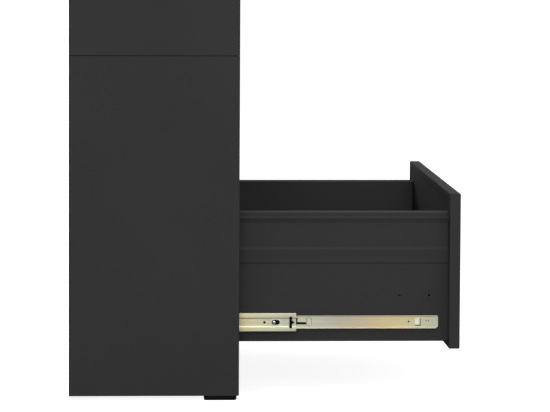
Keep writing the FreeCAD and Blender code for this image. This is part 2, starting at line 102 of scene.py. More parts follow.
def plain_world(strength):
    """A white sky, the same from all sides."""
    world = bpy.data.worlds.new("studio")
    world.use_nodes = True
    tree = world.node_tree
    sky = tree.nodes["Background"]
    sky.inputs["Color"].default_value = (1.0, 1.0, 1.0, 1.0)
    seen = tree.nodes.new("ShaderNodeLightPath")
    brighter = tree.nodes.new("ShaderNodeMath")
    brighter.operation = "MULTIPLY_ADD"
    brighter.inputs[1].default_value = 1.0 - strength
    brighter.inputs[2].default_value = strength
    tree.links.new(seen.outputs["Is Camera Ray"], brighter.inputs[0])
    tree.links.new(brighter.outputs[0], sky.inputs["Strength"])
    bpy.context.scene.world = world


def soft_light(name, place, target, size, watts):
    """A square area light that looks at a point."""
    data = bpy.data.lights.new(name, "AREA")
    data.shape = "SQUARE"
    data.size = size
    data.energy = watts
    lamp = bpy.data.objects.new(name, data)
    turn = (Vector(target) - Vector(place)).to_track_quat("-Z", "Y")
    lamp.matrix_world = Matrix.Translation(place) @ turn.to_matrix().to_4x4()
    bpy.context.scene.collection.objects.link(lamp)


SKY_STRENGTH = 0.43
LAMPS = (("camera_side_light", (-7.0, 0.3, 3.0), (0.0, -0.3, 0.5), 4.0, 235.0),
         ("far_side_light", (6.5, 1.5, 3.4), (0.0, -0.1, 0.6), 4.0, 150.0),
         ("front_light", (-1.0, -7.0, 3.2), (0.0, -0.3, 0.5), 3.0, 75.0),
         ("overhead_light", (-1.7, -1.1, 4.8), (0.0, -0.3, 0.4), 3.4, 105.0))
FLOOR_REACH = 150.0
plain_world(SKY_STRENGTH)
for lamp in LAMPS:
    soft_light(*lamp)

floor_shape = bmesh.new()
bmesh.ops.create_grid(floor_shape, x_segments=1, y_segments=1, size=FLOOR_REACH)
floor_mesh = bpy.data.meshes.new("studio_floor")
floor_shape.to_mesh(floor_mesh)
floor_shape.free()
studio_floor = bpy.data.objects.new("studio_floor", floor_mesh)
bpy.context.scene.collection.objects.link(studio_floor)
print(len(LAMPS), "lights, floor", 2 * FLOOR_REACH, "m wide")

# %% [markdown]
# ## Finishes
#
# Most of the cabinet has an anthracite powder coat. The slides are yellow-passivated zinc, and paler
# where metal is pressed out of them, which is a painted highlight. Balls, rivets and screws are bright
# steel, and the lock is satin nickel. Feet, levers and stops are black plastic, the handles a lighter
# and smoother one, and the ballast is painted. Thin black plastic sheets behind the holes of the
# middle members are painted shade. What these finishes share is made once as node groups: a fine
# orange-peel grain, long rolling marks, slow patches, bands of colour, and masks that find edges and
# gaps, for a painted highlight and painted shade. A group gives out only a value. The shader stays in
# the material, where gloss and bump are set.

# %% Small helpers for node trees


def new_group(name, inputs, output, kind):
    """A shader node group with float inputs, a Vector input and one output."""
    group = bpy.data.node_groups.new(name, "ShaderNodeTree")
    group.interface.new_socket("Vector", in_out="INPUT", socket_type="NodeSocketVector")
    for label, value in inputs.items():
        socket = group.interface.new_socket(label, in_out="INPUT", socket_type="NodeSocketFloat")
        socket.default_value = value
    group.interface.new_socket(output, in_out="OUTPUT", socket_type=kind)
    return group, group.nodes.new("NodeGroupInput"), group.nodes.new("NodeGroupOutput")


def add(tree, kind, **values):
    """A node with some of its settings and socket values filled in."""
    node = tree.nodes.new(kind)
    for name, value in values.items():
        if name in node.inputs:
            node.inputs[name].default_value = value
        else:
            setattr(node, name, value)
    return node


# %% Node group: orange-peel grain of a powder coat
peel, peel_in, peel_out = new_group("orange_peel", {"Size": 0.0016}, "Height", "NodeSocketFloat")
peel_rate = add(peel, "ShaderNodeMath", operation="DIVIDE")
peel_rate.inputs[0].default_value = 1.0
peel_noise = add(peel, "ShaderNodeTexNoise", Detail=2.0, Roughness=0.45)
peel.links.new(peel_in.outputs["Size"], peel_rate.inputs[1])
peel.links.new(peel_in.outputs["Vector"], peel_noise.inputs["Vector"])
peel.links.new(peel_rate.outputs[0], peel_noise.inputs["Scale"])
peel.links.new(peel_noise.outputs["Fac"], peel_out.inputs["Height"])

# %% Node group: slow patches, and node group: rolling marks along Y
patch, patch_in, patch_out = new_group("slow_patches", {"Size": 0.25}, "Mask", "NodeSocketFloat")
patch_rate = add(patch, "ShaderNodeMath", operation="DIVIDE")
patch_rate.inputs[0].default_value = 1.0
patch_noise = add(patch, "ShaderNodeTexNoise", Detail=3.0, Roughness=0.55)
patch.links.new(patch_in.outputs["Size"], patch_rate.inputs[1])
patch.links.new(patch_in.outputs["Vector"], patch_noise.inputs["Vector"])
patch.links.new(patch_rate.outputs[0], patch_noise.inputs["Scale"])
patch.links.new(patch_noise.outputs["Fac"], patch_out.inputs["Mask"])

rolled, rolled_in, rolled_out = new_group("rolling_marks", {"Length": 0.08, "Width": 0.0012},
                                          "Height", "NodeSocketFloat")
rolled_split = add(rolled, "ShaderNodeSeparateXYZ")
rolled_join = add(rolled, "ShaderNodeCombineXYZ")
rolled.links.new(rolled_in.outputs["Vector"], rolled_split.inputs[0])
for axis, size in (("X", "Width"), ("Y", "Length"), ("Z", "Width")):
    rate = add(rolled, "ShaderNodeMath", operation="DIVIDE")
    rolled.links.new(rolled_split.outputs[axis], rate.inputs[0])
    rolled.links.new(rolled_in.outputs[size], rate.inputs[1])
    rolled.links.new(rate.outputs[0], rolled_join.inputs[axis])
rolled_noise = add(rolled, "ShaderNodeTexNoise", Scale=1.0, Detail=2.0)
rolled.links.new(rolled_join.outputs[0], rolled_noise.inputs["Vector"])
rolled.links.new(rolled_noise.outputs["Fac"], rolled_out.inputs["Height"])

# %% Node group: mask of the outer edges, for a painted highlight
#
# The Bevel node gives the normal of a rounded edge. Where it leaves the real normal, an edge is near.
edges, edges_in, edges_out = new_group("edge_highlight_mask", {"Reach": 0.0012}, "Mask", "NodeSocketFloat")
edge_round = add(edges, "ShaderNodeBevel", samples=4)
edge_true = add(edges, "ShaderNodeNewGeometry")
edge_dot = add(edges, "ShaderNodeVectorMath", operation="DOT_PRODUCT")
edge_step = add(edges, "ShaderNodeMapRange")
edge_step.inputs["From Min"].default_value = 0.999
edge_step.inputs["From Max"].default_value = 0.80
edges.links.new(edges_in.outputs["Reach"], edge_round.inputs["Radius"])
edges.links.new(edge_round.outputs["Normal"], edge_dot.inputs[0])
edges.links.new(edge_true.outputs["Normal"], edge_dot.inputs[1])
edges.links.new(edge_dot.outputs["Value"], edge_step.inputs["Value"])
edges.links.new(edge_step.outputs["Result"], edges_out.inputs["Mask"])

# %% Node group: mask of narrow gaps and inner corners, for painted shade
cavity, cavity_in, cavity_out = new_group("cavity_shade_mask", {"Reach": 0.006}, "Mask", "NodeSocketFloat")
cavity_open = add(cavity, "ShaderNodeAmbientOcclusion", samples=6)
cavity.links.new(cavity_in.outputs["Reach"], cavity_open.inputs["Distance"])
cavity.links.new(cavity_open.outputs["AO"], cavity_out.inputs["Mask"])
print("node groups:", [g.name for g in bpy.data.node_groups])

# %% Small helpers for materials


def new_finish(name, metallic, specular):
    """An empty material with its shader, and the object's own coordinates."""
    finish = bpy.data.materials.new(name)
    finish.use_nodes = True
    tree = finish.node_tree
    shader = tree.nodes["Principled BSDF"]
    shader.inputs["Metallic"].default_value = metallic
    shader.inputs["Specular IOR Level"].default_value = specular
    place = add(tree, "ShaderNodeTexCoord")
    return finish, tree, shader, place.outputs["Object"]


def use_group(tree, group, vector, **values):
    """Place a node group in a material with its own values."""
    node = tree.nodes.new("ShaderNodeGroup")
    node.node_tree = group
    tree.links.new(vector, node.inputs["Vector"])
    for name, value in values.items():
        node.inputs[name].default_value = value
    return node.outputs[0]


def blend_colors(tree, mask, low, high, start=0.35, end=0.65):
    """Two colours, or two sockets, mixed by a mask."""
    spread = add(tree, "ShaderNodeMapRange")
    spread.inputs["From Min"].default_value = start
    spread.inputs["From Max"].default_value = end
    tree.links.new(mask, spread.inputs["Value"])
    mix = add(tree, "ShaderNodeMix", data_type="RGBA")
    tree.links.new(spread.outputs["Result"], mix.inputs[0])
    for socket, color in ((mix.inputs[6], low), (mix.inputs[7], high)):
        if isinstance(color, tuple):
            socket.default_value = (*color, 1.0)
        else:
            tree.links.new(color, socket)
    return mix.outputs[2]


def roughness_range(tree, shader, mask, low, high):
    """Roughness that follows a mask."""
    spread = add(tree, "ShaderNodeMapRange")
    spread.inputs["To Min"].default_value = low
    spread.inputs["To Max"].default_value = high
    tree.links.new(mask, spread.inputs["Value"])
    tree.links.new(spread.outputs["Result"], shader.inputs["Roughness"])


def bumps(tree, shader, height, strength, depth):
    """Small relief from a height value."""
    bump = add(tree, "ShaderNodeBump", Strength=strength, Distance=depth)
    tree.links.new(height, bump.inputs["Height"])
    tree.links.new(bump.outputs["Normal"], shader.inputs["Normal"])


# %% [markdown]
# ### Powder coat
#
# The coat is a dark, neutral grey, and matt: in the photograph even faces seen at a flat angle hardly
# shine. So the colour carries it, and the gloss is low. Powder flows into a fine orange peel as it
# bakes and never has quite the same tone all over. Its colour is made a little lighter along the
# edges, a painted highlight, and darker deep in gaps, which an ambient-occlusion mask finds: painted
# shade.

# %% Powder coat
COAT_DARK = (0.0318, 0.0318, 0.0323)
COAT_LIGHT = (0.0352, 0.0352, 0.0357)
# The edge tone is a painted highlight, and the gap tone is painted shade.
COAT_PAINTED_HIGHLIGHT = (0.0365, 0.0365, 0.0370)
COAT_PAINTED_SHADE = (0.018, 0.018, 0.0183)


def powder_coat(name, dark, light, edge):
    """Powder coat: two tones for patches, a painted edge highlight and painted shade in gaps."""
    finish, tree, shader, place = new_finish(name, metallic=0.0, specular=0.04)
    patches = use_group(tree, patch, place, Size=0.30)
    tone = blend_colors(tree, patches, dark, light)
    # Lighter along the edges: a painted highlight.
    rim = use_group(tree, edges, place, Reach=0.0010)
    tone = blend_colors(tree, rim, tone, edge, start=0.0, end=1.0)
    # Darker deep in gaps and inner corners: painted shade.
    gaps = use_group(tree, cavity, place, Reach=0.003)
    tone = blend_colors(tree, gaps, COAT_PAINTED_SHADE, tone, start=0.25, end=0.75)
    tree.links.new(tone, shader.inputs["Base Color"])
    roughness_range(tree, shader, patches, low=0.66, high=0.76)
    bumps(tree, shader, use_group(tree, peel, place, Size=0.0018), strength=0.25, depth=0.0001)
    return finish


coat = powder_coat("anthracite_powder_coat", COAT_DARK, COAT_LIGHT, COAT_PAINTED_HIGHLIGHT)

# %% [markdown]
# ### Yellow-passivated zinc
#
# The slides are rolled steel, zinc plated and dipped in a chromate bath. The thin film on them turns
# from lilac grey over pink to gold and back over pale green, slowly, along the length. Two waves a
# quarter of a period apart give that order: one goes from lilac to gold, the other from green to
# pink. Noise shifts the waves, so that no two members look the same, and fine marks follow the roll.

# %% Node group: bands of the film
bands, bands_in, bands_out = new_group("film_bands", {"Period": 0.26, "Start": 0.0},
                                       "Mask", "NodeSocketFloat")
bands_split = add(bands, "ShaderNodeSeparateXYZ")
bands_from = add(bands, "ShaderNodeMath", operation="SUBTRACT")
bands_turn = add(bands, "ShaderNodeMath", operation="DIVIDE")
bands_full = add(bands, "ShaderNodeMath", operation="MULTIPLY")
bands_full.inputs[1].default_value = 2 * math.pi
bands_drift = add(bands, "ShaderNodeTexNoise", Scale=9.0, Detail=2.0)
bands_more = add(bands, "ShaderNodeMath", operation="MULTIPLY_ADD")
bands_more.inputs[1].default_value = 2.0
bands_wave = add(bands, "ShaderNodeMath", operation="COSINE")
bands_mask = add(bands, "ShaderNodeMath", operation="MULTIPLY_ADD")
bands_mask.inputs[1].default_value = 0.5
bands_mask.inputs[2].default_value = 0.5
bands.links.new(bands_in.outputs["Vector"], bands_split.inputs[0])
bands.links.new(bands_in.outputs["Vector"], bands_drift.inputs["Vector"])
bands.links.new(bands_split.outputs["Y"], bands_from.inputs[0])
bands.links.new(bands_in.outputs["Start"], bands_from.inputs[1])
bands.links.new(bands_from.outputs[0], bands_turn.inputs[0])
bands.links.new(bands_in.outputs["Period"], bands_turn.inputs[1])
bands.links.new(bands_turn.outputs[0], bands_full.inputs[0])
bands.links.new(bands_drift.outputs["Fac"], bands_more.inputs[0])
bands.links.new(bands_full.outputs[0], bands_more.inputs[2])
bands.links.new(bands_more.outputs[0], bands_wave.inputs[0])
bands.links.new(bands_wave.outputs[0], bands_mask.inputs[0])
bands.links.new(bands_mask.outputs[0], bands_out.inputs["Mask"])

# %% Yellow zinc
FILM_LILAC = (0.44, 0.44, 0.43)
FILM_GOLD = (0.69, 0.575, 0.29)
FILM_GREEN = (0.61, 0.645, 0.46)
FILM_PINK = (0.61, 0.495, 0.345)
FILM_PERIOD = 0.26


def yellow_zinc(name, start):
    """Pale gold plate with slow bands of colour and fine rolling marks; the bands begin at start."""
    finish, tree, shader, place = new_finish(name, metallic=1.0, specular=0.5)
    first = use_group(tree, bands, place, Period=FILM_PERIOD, Start=start)
    second = use_group(tree, bands, place, Period=FILM_PERIOD, Start=start + FILM_PERIOD / 4)
    marks = use_group(tree, rolled, place, Length=0.060, Width=0.0007)
    warm = blend_colors(tree, first, FILM_LILAC, FILM_GOLD, start=0.0, end=1.0)
    cool = blend_colors(tree, second, FILM_GREEN, FILM_PINK, start=0.0, end=1.0)
    streaks = use_group(tree, rolled, place, Length=0.110, Width=0.0045)
    film = blend_colors(tree, streaks, warm, cool, start=0.15, end=0.85)
    tree.links.new(film, shader.inputs["Base Color"])
    roughness_range(tree, shader, marks, low=0.42, high=0.56)
    bumps(tree, shader, marks, strength=0.10, depth=0.00005)
    return finish


zinc = yellow_zinc("yellow_zinc", start=-0.49)
middle_zinc = yellow_zinc("yellow_zinc_middle", start=-0.444)
print("film: one period is", FILM_PERIOD, "m")

# %% Bright steel, nickel, zinc with a painted highlight, plastics and painted ballast


def bright_metal(name, color, low, high):
    """Turned or rolled bright metal with fine marks."""
    finish, tree, shader, place = new_finish(name, metallic=1.0, specular=0.5)
    clouds = use_group(tree, patch, place, Size=0.02)
    darker = tuple(0.82 * c for c in color)
    tree.links.new(blend_colors(tree, clouds, darker, color), shader.inputs["Base Color"])
    roughness_range(tree, shader, clouds, low, high)
    bumps(tree, shader, use_group(tree, peel, place, Size=0.0006), strength=0.05, depth=0.00004)
    return finish


def moulded_plastic(name, color, low, high, grain, gloss=0.08):
    """Moulded plastic, or thick paint, with an eroded grain."""
    finish, tree, shader, place = new_finish(name, metallic=0.0, specular=gloss)
    speckle = use_group(tree, peel, place, Size=grain)
    lighter = tuple(1.5 * c for c in color)
    tree.links.new(blend_colors(tree, speckle, color, lighter), shader.inputs["Base Color"])
    roughness_range(tree, shader, speckle, low, high)
    bumps(tree, shader, speckle, strength=0.25, depth=0.0001)
    return finish


steel = bright_metal("bright_steel", (0.70, 0.69, 0.67), low=0.16, high=0.28)
nickel = bright_metal("satin_nickel", (0.72, 0.70, 0.66), low=0.26, high=0.36)
# Paler zinc for pressed-out tongues, pads and lips: a painted highlight on parts that face the light.
painted_highlight_zinc = bright_metal("painted_highlight_zinc", (0.68, 0.67, 0.57), low=0.45, high=0.60)
plastic = moulded_plastic("black_plastic", (0.0018, 0.0018, 0.0019), low=0.50, high=0.66, grain=0.0012)
handle_plastic = moulded_plastic("handle_plastic", (0.010, 0.010, 0.0104), low=0.34, high=0.48,
                                 grain=0.0010, gloss=0.35)
ballast_iron = moulded_plastic("painted_ballast", (0.035, 0.035, 0.034), low=0.6, high=0.8, grain=0.004)
print("finishes:", [m.name for m in bpy.data.materials if m.use_nodes])

# %% [markdown]
# ## Making pieces
#
# Most parts are folded sheet, and their solids in the frame have the right shape but razor edges.
# A real edge always has a small radius that catches the light, so each part is a copy of its solid
# with the doubles merged, flat triangles joined into whole faces and the sharp edges bevelled. A
# Weighted Normal modifier keeps the big faces flat in shade beside the narrow bevels.

# %% Helpers for pieces
SHARP = math.radians(28)
SMOOTH_UP_TO = math.radians(50)
FLAT = math.radians(0.5)
WELD = 1e-6


def make_piece(name, shape, body, finish, replaced=()):
    """Turn a bmesh into a named object that rides on a body and takes a finish."""
    mesh = bpy.data.meshes.new(name)
    shape.to_mesh(mesh)
    shape.free()
    mesh.polygons.foreach_set("use_smooth", [True] * len(mesh.polygons))
    mesh.set_sharp_from_angle(angle=SMOOTH_UP_TO)
    mesh.materials.append(finish)
    piece = bpy.data.objects.new(name, mesh)
    bpy.context.scene.collection.objects.link(piece)
    even = piece.modifiers.new("even_shade", "WEIGHTED_NORMAL")
    even.keep_sharp = True
    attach(piece, body)
    if replaced:
        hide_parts(*replaced)
    return piece


def soften(shape, width, segments=3):
    """Round the sharp edges of a shape, and tell how many they are."""
    sharp = [e for e in shape.edges if len(e.link_faces) == 2 and e.calc_face_angle(0.0) > SHARP]
    bmesh.ops.bevel(shape, geom=sharp, offset=width, offset_type="OFFSET", segments=segments,
                    profile=0.5, affect="EDGES", clamp_overlap=True, material=-1)
    return len(sharp)


def solid_copy(node):
    """A merged copy of a node's mesh, its flat faces whole."""
    shape = bmesh.new()
    shape.from_mesh(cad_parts[node].data)
    bmesh.ops.remove_doubles(shape, verts=shape.verts, dist=WELD)
    bmesh.ops.dissolve_limit(shape, angle_limit=FLAT, use_dissolve_boundaries=False,
                             verts=shape.verts, edges=shape.edges)
    return shape


def dress(node, body, finish, width=0.25 * MM, segments=3):
    """A node's own shape with soft edges, standing for the node."""
    shape = solid_copy(node)
    rounded = soften(shape, width, segments)
    piece = make_piece(node + "_dressed", shape, body, finish, [node])
    print(node, rounded, "edges rounded,", len(piece.data.polygons), "faces")


# %% [markdown]
# ## The cabinet's sheets
#
# Sides, back, lid, plinth, floor, uprights and cross rails are sheet of 1 mm, so a quarter of a
# millimetre is the most that their cut edges can be rounded.

# %% Dress the sheets of the body
COATED = ("side_lower_left", "side_lower_right", "side_upper_left", "side_upper_right", "back_lower",
          "back_upper", "top_panel", "plinth", "floor_panel", "uprights", "cross_rails")
for node in COATED:
    dress(node, "cabinet", coat)
dress("feet", "cabinet", plastic, 0.6 * MM)
dress("ballast", "cabinet", ballast_iron, 2.0 * MM)

# %% Angles behind the ends of the plinth
#
# They are welded to the stiles and close the hair-thin gap, through which the bright floor would
# shine. Each leg is given in millimetres: its centre inwards and back from the plinth's front corner,
# then its width and depth.
ANGLE_LEGS = ((6.7, 1.7, 14.3, 1.2), (13.3, 6.0, 1.0, 8.6))
ANGLE_SHORTER = 2.6 * MM
plinth_low, plinth_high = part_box("plinth")
angles = bmesh.new()
angle_z = (plinth_low.z + plinth_high.z) / 2
angle_tall = plinth_high.z - plinth_low.z - ANGLE_SHORTER
for x, y, wide, deep in ANGLE_LEGS:
    for end, inward in ((plinth_low.x, 1), (plinth_high.x, -1)):
        place = Vector((end + inward * x * MM, plinth_low.y + y * MM, angle_z))
        matrix = Matrix.Translation(place) @ Matrix.Diagonal((wide * MM, deep * MM, angle_tall, 1.0))
        bmesh.ops.create_cube(angles, size=1.0, matrix=matrix)
soften(angles, 0.2 * MM)
make_piece("plinth_end_angles", angles, "cabinet", coat)
print("plinth angles", round(angle_tall / MM, 1), "mm tall")

# %% [markdown]
# ## The drawers' sheets
#
# Each drawer has the same shells: a deep outer front, its inner sheet and a welded tray. The two
# upper side walls come with the slides, because they are folded with the same helpers.

# %% Dress the drawers' fronts and trays
for n in DRAWERS:
    for part in ("front", "liner", "tray"):
        dress(f"drawer_{n}_{part}", f"drawer_{n}", coat, 0.30 * MM)

# %% Dress the handles and the lock
for n in DRAWERS:
    dress(f"drawer_{n}_handle", f"drawer_{n}", handle_plastic, 0.5 * MM, 4)
dress("lock_body", "cabinet", nickel, 0.2 * MM)
dress("lock_core", "lock_core", nickel, 0.15 * MM)
dress("lock_bar", "lock_bar", zinc, 0.2 * MM)

# %% [markdown]
# ## Telescopic slides
#
# A slide is three channels one inside the other, with rows of balls between them. This is the piece
# that takes the most skill, so its members are made new. A channel starts as a bent line that is
# pulled into a strip. Its folds are bevelled round, and only then it gets the thickness of its
# sheet, so that the metal is as thick in a fold as on the flat. The slides on the left of the lowest
# drawer are made first. Mirroring gives the right side, and moving a copy gives each other drawer.

# %% Helpers for folded channels and punched holes
SLIDE_SHEET = 1.2 * MM
ROUND_SIDES = 28
SAME_PLACE = 1e-7


def folded_channel(points, start, end, radii, trims=(), sheet=SLIDE_SHEET):
    """A channel along Y from corners (x, z), its metal on the right of the line they make."""
    shape = bmesh.new()
    line = [shape.verts.new((x, start, z)) for x, z in points]
    runs = [shape.edges.new(pair) for pair in zip(line, line[1:])]
    pulled = bmesh.ops.extrude_edge_only(shape, edges=runs)["geom"]
    far_end = [v for v in pulled if isinstance(v, bmesh.types.BMVert)]
    bmesh.ops.translate(shape, verts=far_end, vec=(0.0, end - start, 0.0))
    for (x, z), radius in zip(points[1:-1], radii):
        fold = [e for e in shape.edges
                if all(abs(v.co.x - x) + abs(v.co.z - z) < SAME_PLACE for v in e.verts)]
        bmesh.ops.bevel(shape, geom=fold, offset=radius, offset_type="OFFSET", segments=5,
                        profile=0.5, affect="EDGES", clamp_overlap=False, material=-1)
    for place, normal in trims:
        whole = shape.verts[:] + shape.edges[:] + shape.faces[:]
        bmesh.ops.bisect_plane(shape, geom=whole, plane_co=place, plane_no=normal, clear_outer=True)
    bmesh.ops.solidify(shape, geom=shape.faces[:], thickness=-sheet)
    bmesh.ops.recalc_face_normals(shape, faces=shape.faces[:])
    return shape


def plug(x0, x1, y, z, length, tall):
    """A prism across a web, round or with round ends, longest along Y."""
    shape = bmesh.new()
    bmesh.ops.create_circle(shape, cap_ends=True, segments=ROUND_SIDES, radius=tall / 2)
    bmesh.ops.rotate(shape, verts=shape.verts, matrix=Matrix.Rotation(math.pi / 2, 3, "Y"))
    for v in shape.verts:
        v.co.y += math.copysign((length - tall) / 2, v.co.y) if abs(v.co.y) > 1e-9 else 0.0
    raise_face(shape, x0, x1, y, z)
    return shape


def raise_face(shape, x0, x1, y, z):
    """Move a flat shape to x0 and pull it to x1."""
    bmesh.ops.translate(shape, verts=shape.verts, vec=(x0, y, z))
    pulled = bmesh.ops.extrude_face_region(shape, geom=shape.faces[:])["geom"]
    top = [v for v in pulled if isinstance(v, bmesh.types.BMVert)]
    bmesh.ops.translate(shape, verts=top, vec=(x1 - x0, 0.0, 0.0))
    bmesh.ops.recalc_face_normals(shape, faces=shape.faces[:])


def pad(x0, x1, y, z, wide, tall, corner):
    """A plate across a web with rounded corners."""
    shape = bmesh.new()
    bmesh.ops.create_grid(shape, x_segments=1, y_segments=1, size=0.5)
    bmesh.ops.scale(shape, verts=shape.verts, vec=(tall, wide, 1.0))
    bmesh.ops.rotate(shape, verts=shape.verts, matrix=Matrix.Rotation(math.pi / 2, 3, "Y"))
    bmesh.ops.bevel(shape, geom=shape.verts[:], offset=corner, offset_type="OFFSET", segments=6,
                    profile=0.5, affect="VERTICES", clamp_overlap=False, material=-1)
    raise_face(shape, x0, x1, y, z)
    return shape


def joined(*shapes):
    """Several shapes in one bmesh."""
    whole = bmesh.new()
    for shape in shapes:
        part = bpy.data.meshes.new("part")
        shape.to_mesh(part)
        shape.free()
        whole.from_mesh(part)
        bpy.data.meshes.remove(part)
    return whole


def punched(shape, *cutters):
    """Take other shapes out of a shape with a Boolean modifier."""
    blanks = []
    for name, solid in (("blank", shape), ("cutter", joined(*cutters))):
        mesh = bpy.data.meshes.new(name)
        solid.to_mesh(mesh)
        solid.free()
        blank = bpy.data.objects.new(name, mesh)
        bpy.context.scene.collection.objects.link(blank)
        blanks.append(blank)
    punch = blanks[0].modifiers.new("punch", "BOOLEAN")
    punch.operation = "DIFFERENCE"
    punch.solver = "EXACT"
    punch.object = blanks[1]
    done = bmesh.new()
    done.from_object(blanks[0], bpy.context.evaluated_depsgraph_get())
    for blank in blanks:
        bpy.data.meshes.remove(blank.data)
    bmesh.ops.remove_doubles(done, verts=done.verts, dist=WELD)
    return done


def on_both_sides(shape):
    """The left piece and its mirror image on the right."""
    twin = bmesh.ops.duplicate(shape, geom=shape.verts[:] + shape.edges[:] + shape.faces[:])["geom"]
    bmesh.ops.scale(shape, verts=[v for v in twin if isinstance(v, bmesh.types.BMVert)],
                    vec=(-1.0, 1.0, 1.0))
    bmesh.ops.reverse_faces(shape, faces=[f for f in twin if isinstance(f, bmesh.types.BMFace)])
    return shape


def for_each_drawer(shape, part, body, finish, ending="_dressed"):
    """Place a piece made for the lowest drawer at every drawer. A dressed one stands for its node."""
    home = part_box(f"drawer_1_{part}")[0]
    for n in DRAWERS:
        node = f"drawer_{n}_{part}"
        copy = shape.copy()
        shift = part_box(f"drawer_{n}_{part}")[0] - home
        bmesh.ops.translate(copy, verts=copy.verts, vec=shift)
        make_piece(node + ending, copy, body.format(n), finish,
                   [node] if ending == "_dressed" else ())
    shape.free()


# %% Places along the lowest drawer's slides, read from the frame
inner_low, inner_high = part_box("drawer_1_inner_rails")
middle_low, middle_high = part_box("drawer_1_middle_rails")
axis_z = (inner_low.z + inner_high.z) / 2
wall_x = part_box("drawer_1_tray")[0].x
print("slide axis", round(axis_z, 4), "drawer wall", round(wall_x, 4))

# %% [markdown]
# ### Upper side walls
#
# The photograph shows much on this wall: a wide top flange, under it a pressed ridge with a bright
# upper slope and a dark underside, further down a small step with a bright line, and a lower edge
# that laps over the tray and leaves a dark line. All of it runs along the whole wall, so it can go
# into the bent line from which the strip is pulled.

# %% Upper side walls
#
# The corners are in millimetres: how far out from the tray's wall, and how far up from the hem or
# down from the rim. The radii of the folds are in the order of the corners, without the two ends.
EXTENSION_SHEET = 1.5 * MM
LAP_AND_STEP = ((0.1, -1.2), (1.5, 1.6), (1.5, 9.0), (2.7, 27.2), (0.0, 31.4))
RIDGE = ((0.0, 19.6), (4.0, 10.4), (0.0, 8.3))
WALL_FOLDS = (0.4, 2.0, 0.6, 0.6, 0.8, 0.7, 0.8, 2.0, 2.5)
INNER_LEG = 80.0 * MM
LONGER_AHEAD = 1.6 * MM
LONGER_BEHIND = 12.0 * MM
extension_low, extension_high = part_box("drawer_1_side_extensions")
rim_z = extension_high.z
hem_z = extension_low.z
extension_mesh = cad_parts["drawer_1_side_extensions"].data
inner_x = max(v.co.x for v in extension_mesh.vertices if v.co.x < 0)
wall_points = [(wall_x - out * MM, hem_z + up * MM) for out, up in LAP_AND_STEP]
wall_points += [(wall_x - out * MM, rim_z - down * MM) for out, down in RIDGE]
wall_points += [(wall_x, rim_z), (inner_x, rim_z), (inner_x, rim_z - INNER_LEG)]
wall_start = extension_low.y - LONGER_AHEAD
wall_end = extension_high.y + LONGER_BEHIND
extension = folded_channel(wall_points, wall_start, wall_end, [radius * MM for radius in WALL_FOLDS],
                           sheet=EXTENSION_SHEET)
soften(extension, 0.25 * MM)
print("upper side wall", len(extension.faces), "faces, rim at", round(rim_z, 4))
for_each_drawer(on_both_sides(extension), "side_extensions", "drawer_{}", coat)

# %% Return lips of the drawer fronts
#
# The outer front is folded over at its back. The lip over the inner sheet shows as a thin dark line
# near the top edge.
LIP_TALL = 11.5 * MM
LIP_THICK = 1.2 * MM
LIP_OUT = 0.3 * MM
LIP_INSET = 1.2 * MM
LIP_UNDER_TOP = 1.0 * MM
LIP_OVER_FOOT = 20.0 * MM
front_low, front_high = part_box("drawer_1_front")
lips = bmesh.new()
lip_x0 = front_low.x + LIP_INSET
lip_x1 = front_high.x - LIP_INSET
lip_top = front_high.z - LIP_UNDER_TOP
lip_turn = front_high.z - LIP_TALL
lip_foot = front_low.z + LIP_OVER_FOOT
lip_runs = ((lip_x0, lip_x1, lip_turn, lip_top),
            (lip_x0, lip_x0 + LIP_TALL, lip_foot, lip_turn),
            (lip_x1 - LIP_TALL, lip_x1, lip_foot, lip_turn))
for x0, x1, z0, z1 in lip_runs:
    middle = Matrix.Translation(((x0 + x1) / 2, front_high.y + LIP_OUT, (z0 + z1) / 2))
    size = Matrix.Diagonal((x1 - x0, LIP_THICK, z1 - z0, 1.0))
    bmesh.ops.create_cube(lips, size=1.0, matrix=middle @ size)
soften(lips, 0.3 * MM)
print("return lips", round(LIP_TALL / MM, 1), "mm tall")
for_each_drawer(lips, "front", "drawer_{}", coat, "_return_lips")

# %% [markdown]
# ### Drawer member
#
# The smallest channel is screwed to the drawer and open outwards. Its front corners are cut round,
# the lower one more. A tongue is pressed out of the web, with a slit round its lower front. Towards
# the other end lies a rounded pad, and behind it the black release lever.

# %% Drawer member
INNER_HALF = 12.65 * MM
INNER_TIP = 5.8 * MM
INNER_FOLD = 2.6 * MM
CORNERS = ((1, 2.2 * MM), (-1, 5.0 * MM))
HOLE_BACK = 57.5
SLIT_BACK = 39.6
PAD_BACK = 252.4
MARKS_BACK = 20.7
MARKS_APART = 2.4
inner_front = inner_low.y
tip_x = wall_x - INNER_TIP
inner_points = ((tip_x, axis_z + INNER_HALF), (wall_x, axis_z + INNER_HALF),
                (wall_x, axis_z - INNER_HALF), (tip_x, axis_z - INNER_HALF))
corner_cuts = []
for up, size in CORNERS:
    for turn in (22.5, 45.0, 67.5):
        angle = math.radians(turn)
        normal = Vector((0.0, -math.cos(angle), up * math.sin(angle)))
        centre = Vector((0.0, inner_front + size, axis_z + up * (INNER_HALF - size)))
        corner_cuts.append((centre + normal * size, normal))
drawer_member = folded_channel(inner_points, inner_front, inner_high.y, (INNER_FOLD, INNER_FOLD),
                               corner_cuts)
web_out = wall_x - SLIDE_SHEET


def inner_plug(x0, x1, back, up, length, tall):
    """A plug in the drawer member's web: how far back and up, and its size, in millimetres."""
    return plug(x0, x1, inner_front + back * MM, axis_z + up * MM, length * MM, tall * MM)


def inner_pad(x0, x1, back, up, wide, tall, corner):
    """A pad on the drawer member's web: how far back and up, and its size, in millimetres."""
    return pad(x0, x1, inner_front + back * MM, axis_z + up * MM, wide * MM, tall * MM, corner * MM)


